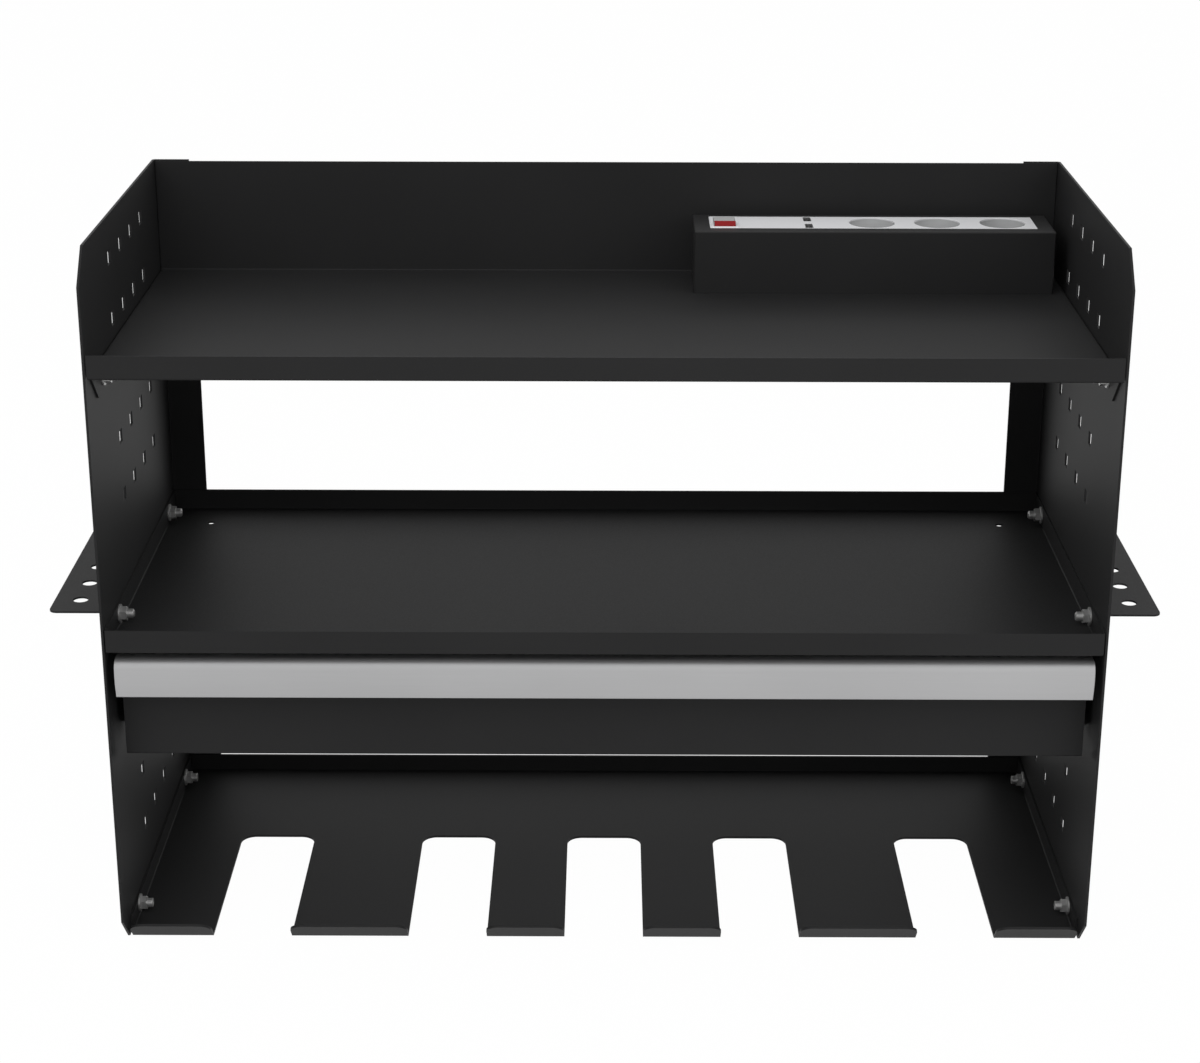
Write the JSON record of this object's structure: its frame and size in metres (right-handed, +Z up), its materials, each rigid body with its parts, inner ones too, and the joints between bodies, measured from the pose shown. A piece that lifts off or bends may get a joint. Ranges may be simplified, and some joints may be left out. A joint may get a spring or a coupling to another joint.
{
  "type": "power tool rack with drawer and power strip",
  "caption": "Open wall rack of folded black sheet steel with a top tray carrying a power strip, a middle shelf over a wide drawer, slotted tool holders below and screwdriver racks outside.",
  "frame": {"origin": "on the ground under the middle of the rack, halfway between its front edges and its rear face", "axes": "+X to the right of someone facing the rack, +Y to the rear, towards the wall, +Z up"},
  "size_m": [0.8288, 0.321, 0.5485],
  "materials": {
    "black_coat": "fine satin black powder coat",
    "zinc": "bright zinc plate",
    "handle_aluminium": "satin anodised",
    "slide_steel": "black electro-coated strip",
    "black_screw": "black oxide",
    "ball_steel": "polished",
    "strip_black": "moulded, fine matt",
    "light_panel": "light grey, satin",
    "socket_grey": "mid grey, satin",
    "contact_brass": "plain",
    "black_plastic": "moulded, matt",
    "rocker_grey": "satin",
    "rocker_red": "dark red, glossy",
    "port_steel": "nickel-plated",
    "grommet_rubber": "matt"
  },
  "bodies": {
    "rack": {"cable_gland": "black_plastic", "cable_gland_nut": "black_plastic", "cable_grommet": "grommet_rubber", "contact_carrier": "black_plastic", "earth_bus_bar": "contact_brass", "earth_clips": "contact_brass", "holder_bolts": "zinc", "holder_nuts": "zinc", "left_screwdriver_rack": "black_coat", "left_side_panel": "black_coat", "left_slide_outer_member": "slide_steel", "left_socket": "socket_grey", "line_bus_bar": "contact_brass", "middle_shelf": "black_coat", "middle_shelf_bolts": "zinc", "middle_shelf_nuts": "zinc", "middle_socket": "socket_grey", "neutral_bus_bar": "contact_brass", "right_screwdriver_rack": "black_coat", "right_side_panel": "black_coat", "right_slide_outer_member": "slide_steel", "right_socket": "socket_grey", "slide_panel_screws": "zinc", "socket_contacts": "contact_brass", "strip_base": "zinc", "strip_cover": "strip_black", "strip_end_screws": "black_screw", "strip_face_panel": "light_panel", "strip_floor_nuts": "zinc", "strip_floor_screws": "zinc", "strip_housing": "strip_black", "switch_frame": "light_panel", "tool_holder_shelf": "black_coat", "top_tray": "black_coat", "tray_bolts": "zinc", "tray_nuts": "zinc", "usb_charger": "black_plastic", "usb_ports": "port_steel", "usb_tongues": "black_plastic"},
    "drawer": {"drawer_box": "black_coat", "drawer_box_ends": "black_coat", "drawer_front": "black_coat", "drawer_front_nuts": "zinc", "drawer_handle": "handle_aluminium", "handle_screws": "zinc", "left_slide_inner_member": "slide_steel", "right_slide_inner_member": "slide_steel", "slide_drawer_screws": "zinc"},
    "left_slide_middle": {"left_slide_middle_member": "slide_steel"},
    "left_outer_cage": {"left_outer_ball_cage": "slide_steel", "left_outer_balls": "ball_steel"},
    "left_inner_cage": {"left_inner_ball_cage": "slide_steel", "left_inner_balls": "ball_steel"},
    "right_slide_middle": {"right_slide_middle_member": "slide_steel"},
    "right_outer_cage": {"right_outer_ball_cage": "slide_steel", "right_outer_balls": "ball_steel"},
    "right_inner_cage": {"right_inner_ball_cage": "slide_steel", "right_inner_balls": "ball_steel"},
    "rocker": {"rocker": "rocker_grey", "rocker_lens": "rocker_red"}
  },
  "joints": [
    {"name": "drawer_slide", "type": "slide", "parent": "rack", "child": "drawer", "axis": [0, -1, 0], "range_m": [0, 0.25]},
    {"name": "left_slide_middle_slide", "type": "slide", "parent": "rack", "child": "left_slide_middle", "axis": [0, -1, 0], "range_m": [0, 0.125]},
    {"name": "left_outer_cage_slide", "type": "slide", "parent": "rack", "child": "left_outer_cage", "axis": [0, -1, 0], "range_m": [0, 0.0625]},
    {"name": "left_inner_cage_slide", "type": "slide", "parent": "rack", "child": "left_inner_cage", "axis": [0, -1, 0], "range_m": [0, 0.1875]},
    {"name": "right_slide_middle_slide", "type": "slide", "parent": "rack", "child": "right_slide_middle", "axis": [0, -1, 0], "range_m": [0, 0.125]},
    {"name": "right_outer_cage_slide", "type": "slide", "parent": "rack", "child": "right_outer_cage", "axis": [0, -1, 0], "range_m": [0, 0.0625]},
    {"name": "right_inner_cage_slide", "type": "slide", "parent": "rack", "child": "right_inner_cage", "axis": [0, -1, 0], "range_m": [0, 0.1875]},
    {"name": "rocker_hinge", "type": "hinge", "parent": "rack", "child": "rocker", "pos_m": [0.0952, 0.11545, 0.50555], "axis": [1, 0, 0], "range_deg": [0, 14]}
  ],
  "couplings": [
    {"joint": "left_slide_middle_slide", "follows": "drawer_slide", "ratio": 0.5},
    {"joint": "left_outer_cage_slide", "follows": "drawer_slide", "ratio": 0.25},
    {"joint": "left_inner_cage_slide", "follows": "drawer_slide", "ratio": 0.75},
    {"joint": "right_slide_middle_slide", "follows": "drawer_slide", "ratio": 0.5},
    {"joint": "right_outer_cage_slide", "follows": "drawer_slide", "ratio": 0.25},
    {"joint": "right_inner_cage_slide", "follows": "drawer_slide", "ratio": 0.75}
  ]
}
